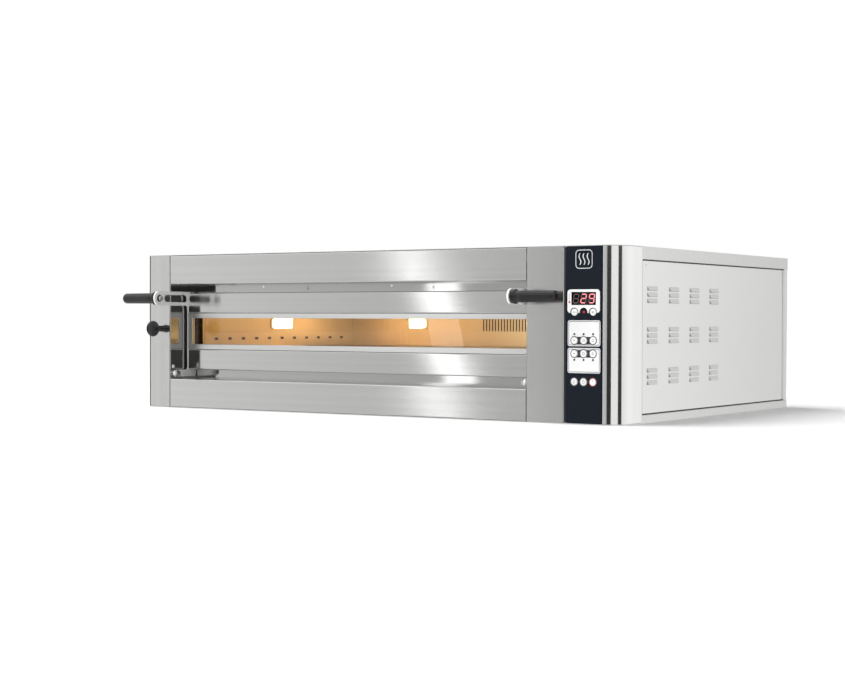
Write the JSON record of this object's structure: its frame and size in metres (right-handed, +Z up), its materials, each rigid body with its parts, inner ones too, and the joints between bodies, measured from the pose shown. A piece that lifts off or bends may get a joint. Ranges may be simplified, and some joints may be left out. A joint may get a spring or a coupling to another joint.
{
  "type": "countertop pizza oven",
  "caption": "Single-deck electric pizza oven in stainless steel with a glazed drop-down door on side arms, twin handles, push-button panel and vapour damper.",
  "frame": {"origin": "centre of the body's underside, which rests on the counter", "axes": "+Z up, +X to the viewer's right when facing the door, +Y from the door to the back"},
  "size_m": [1.5038, 1.1425, 0.423],
  "materials": {
    "base_pan": "plain",
    "top_cover": "satin",
    "rear_panel": "satin",
    "left_side_panel": "satin",
    "right_side_panel": "satin",
    "left_pillar": "brushed upright",
    "right_pillar": "brushed upright",
    "corner_post": "polished",
    "upper_fascia": "brushed lengthways",
    "lower_fascia": "brushed lengthways",
    "mouth_frame": "polished",
    "chamber_roof": "heat tinted",
    "chamber_floor": "heat tinted",
    "chamber_left_wall": "heat tinted",
    "chamber_right_wall": "heat tinted",
    "chamber_rear_wall": "heat tinted",
    "left_lamp": "frosted",
    "rear_lamp": "frosted",
    "left_deck_stone": "fired",
    "right_deck_stone": "fired",
    "upper_heating_element": "sheathed, dull",
    "lower_heating_element": "sheathed, dull",
    "top_insulation": "mineral wool",
    "bottom_insulation": "mineral wool",
    "side_insulation": "mineral wool",
    "vapour_duct": "plain",
    "damper_plate": "plain",
    "damper_rod": "drawn bar",
    "damper_knob": "moulded bakelite",
    "control_panel": "gloss",
    "display_bezel": "satin",
    "display_window": "gloss",
    "status_light": "clear",
    "control_board": "lacquered",
    "cable_gland": "moulded",
    "terminal_block": "moulded",
    "door_upper_panel": "brushed lengthways",
    "door_lower_panel": "brushed lengthways",
    "window_frame": "polished",
    "door_glass": "clear",
    "door_back_panel": "plain",
    "left_door_arm": "polished",
    "left_handle": "moulded bakelite",
    "left_handle_screw": "plated",
    "left_pivot_bolt": "plated",
    "right_door_arm": "polished",
    "right_handle": "moulded bakelite",
    "right_handle_screw": "plated",
    "right_pivot_bolt": "plated",
    "temperature_down_button": "satin",
    "temperature_up_button": "satin",
    "top_heat_less_button": "satin",
    "top_heat_off_button": "satin",
    "top_heat_more_button": "satin",
    "bottom_heat_less_button": "satin",
    "bottom_heat_off_button": "satin",
    "bottom_heat_more_button": "satin",
    "lamp_button": "satin",
    "timer_button": "satin",
    "power_button": "satin"
  },
  "bodies": {
    "oven": {"base_pan": "base_pan", "top_cover": "top_cover", "rear_panel": "rear_panel", "left_side_panel": "left_side_panel", "right_side_panel": "right_side_panel", "left_pillar": "left_pillar", "right_pillar": "right_pillar", "corner_post": "corner_post", "upper_fascia": "upper_fascia", "lower_fascia": "lower_fascia", "mouth_frame": "mouth_frame", "chamber_roof": "chamber_roof", "chamber_floor": "chamber_floor", "chamber_left_wall": "chamber_left_wall", "chamber_right_wall": "chamber_right_wall", "chamber_rear_wall": "chamber_rear_wall", "left_lamp": "left_lamp", "rear_lamp": "rear_lamp", "left_deck_stone": "left_deck_stone", "right_deck_stone": "right_deck_stone", "upper_heating_element": "upper_heating_element", "lower_heating_element": "lower_heating_element", "top_insulation": "top_insulation", "bottom_insulation": "bottom_insulation", "side_insulation": "side_insulation", "vapour_duct": "vapour_duct", "control_panel": "control_panel", "display_bezel": "display_bezel", "display_window": "display_window", "status_light": "status_light", "control_board": "control_board", "cable_gland": "cable_gland", "terminal_block": "terminal_block", "left_pivot_bolt": "left_pivot_bolt", "right_pivot_bolt": "right_pivot_bolt"},
    "door": {"door_upper_panel": "door_upper_panel", "door_lower_panel": "door_lower_panel", "window_frame": "window_frame", "door_glass": "door_glass", "door_back_panel": "door_back_panel", "left_door_arm": "left_door_arm", "right_door_arm": "right_door_arm", "left_handle": "left_handle", "right_handle": "right_handle", "left_handle_screw": "left_handle_screw", "right_handle_screw": "right_handle_screw"},
    "damper": {"damper_knob": "damper_knob", "damper_rod": "damper_rod", "damper_plate": "damper_plate"},
    "temperature_down_button": {"temperature_down_button": "temperature_down_button"},
    "temperature_up_button": {"temperature_up_button": "temperature_up_button"},
    "top_heat_less_button": {"top_heat_less_button": "top_heat_less_button"},
    "top_heat_off_button": {"top_heat_off_button": "top_heat_off_button"},
    "top_heat_more_button": {"top_heat_more_button": "top_heat_more_button"},
    "bottom_heat_less_button": {"bottom_heat_less_button": "bottom_heat_less_button"},
    "bottom_heat_off_button": {"bottom_heat_off_button": "bottom_heat_off_button"},
    "bottom_heat_more_button": {"bottom_heat_more_button": "bottom_heat_more_button"},
    "lamp_button": {"lamp_button": "lamp_button"},
    "timer_button": {"timer_button": "timer_button"},
    "power_button": {"power_button": "power_button"}
  },
  "joints": [
    {"name": "door_hinge", "type": "hinge", "parent": "oven", "child": "door", "pos_m": [0, -0.5115, 0.095], "axis": [1, 0, 0], "range_deg": [0, 85]},
    {"name": "damper_slide", "type": "slide", "parent": "oven", "child": "damper", "axis": [0, 1, 0], "range_m": [0, 0.03]},
    {"name": "temperature_down_button_press", "type": "slide", "parent": "oven", "child": "temperature_down_button", "axis": [0, 1, 0], "range_m": [0, 0.001], "stiffness_N_per_m": 400},
    {"name": "temperature_up_button_press", "type": "slide", "parent": "oven", "child": "temperature_up_button", "axis": [0, 1, 0], "range_m": [0, 0.001], "stiffness_N_per_m": 400},
    {"name": "top_heat_less_button_press", "type": "slide", "parent": "oven", "child": "top_heat_less_button", "axis": [0, 1, 0], "range_m": [0, 0.001], "stiffness_N_per_m": 400},
    {"name": "top_heat_off_button_press", "type": "slide", "parent": "oven", "child": "top_heat_off_button", "axis": [0, 1, 0], "range_m": [0, 0.001], "stiffness_N_per_m": 400},
    {"name": "top_heat_more_button_press", "type": "slide", "parent": "oven", "child": "top_heat_more_button", "axis": [0, 1, 0], "range_m": [0, 0.001], "stiffness_N_per_m": 400},
    {"name": "bottom_heat_less_button_press", "type": "slide", "parent": "oven", "child": "bottom_heat_less_button", "axis": [0, 1, 0], "range_m": [0, 0.001], "stiffness_N_per_m": 400},
    {"name": "bottom_heat_off_button_press", "type": "slide", "parent": "oven", "child": "bottom_heat_off_button", "axis": [0, 1, 0], "range_m": [0, 0.001], "stiffness_N_per_m": 400},
    {"name": "bottom_heat_more_button_press", "type": "slide", "parent": "oven", "child": "bottom_heat_more_button", "axis": [0, 1, 0], "range_m": [0, 0.001], "stiffness_N_per_m": 400},
    {"name": "lamp_button_press", "type": "slide", "parent": "oven", "child": "lamp_button", "axis": [0, 1, 0], "range_m": [0, 0.001], "stiffness_N_per_m": 400},
    {"name": "timer_button_press", "type": "slide", "parent": "oven", "child": "timer_button", "axis": [0, 1, 0], "range_m": [0, 0.001], "stiffness_N_per_m": 400},
    {"name": "power_button_press", "type": "slide", "parent": "oven", "child": "power_button", "axis": [0, 1, 0], "range_m": [0, 0.001], "stiffness_N_per_m": 400}
  ]
}
